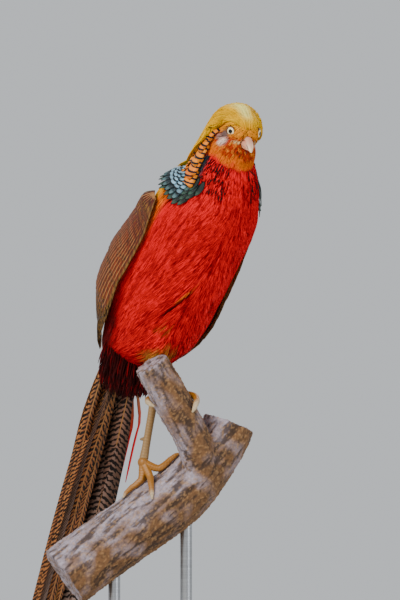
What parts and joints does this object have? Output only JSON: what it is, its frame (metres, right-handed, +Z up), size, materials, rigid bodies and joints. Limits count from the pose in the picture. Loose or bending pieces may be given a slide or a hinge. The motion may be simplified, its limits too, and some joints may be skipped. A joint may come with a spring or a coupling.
{
  "type": "golden pheasant model",
  "caption": "Life-size golden pheasant cock perched on a forked branch, tail hanging, held over a flat base by rods, as a still museum model.",
  "frame": {"origin": "centre of the underside of the stand's base", "axes": "+Z up; +X to the right and +Y away from a viewer who stands where the picture was taken, so the bird faces -Y and turns about 38 degrees to +X"},
  "size_m": [0.3938, 0.5035, 0.8785],
  "materials": {
    "scarlet_feather": "matte",
    "golden_feather": "satin",
    "orange_feather": "satin",
    "brown_feather": "matte",
    "buff_feather": "matte",
    "horn": "satin",
    "leg_skin": "satin",
    "eye": "gloss",
    "bark": "matte",
    "stand_wood": "satin",
    "stand_steel": "satin"
  },
  "bodies": {
    "root": {"torso": "scarlet_feather", "neck": "scarlet_feather", "head": "golden_feather", "crest": "golden_feather", "cape": "orange_feather", "eye_left": "eye", "eye_right": "eye", "bill_upper": "horn", "bill_lower": "horn", "wing_left": "brown_feather", "wing_right": "brown_feather", "tail": "buff_feather", "thigh_left": "buff_feather", "thigh_right": "buff_feather", "shank_left": "leg_skin", "shank_right": "leg_skin", "foot_left": "leg_skin", "foot_right": "leg_skin", "perch": "bark", "stand_base": "stand_wood", "stand_rod_left": "stand_steel", "stand_rod_right": "stand_steel"}
  },
  "joints": []
}
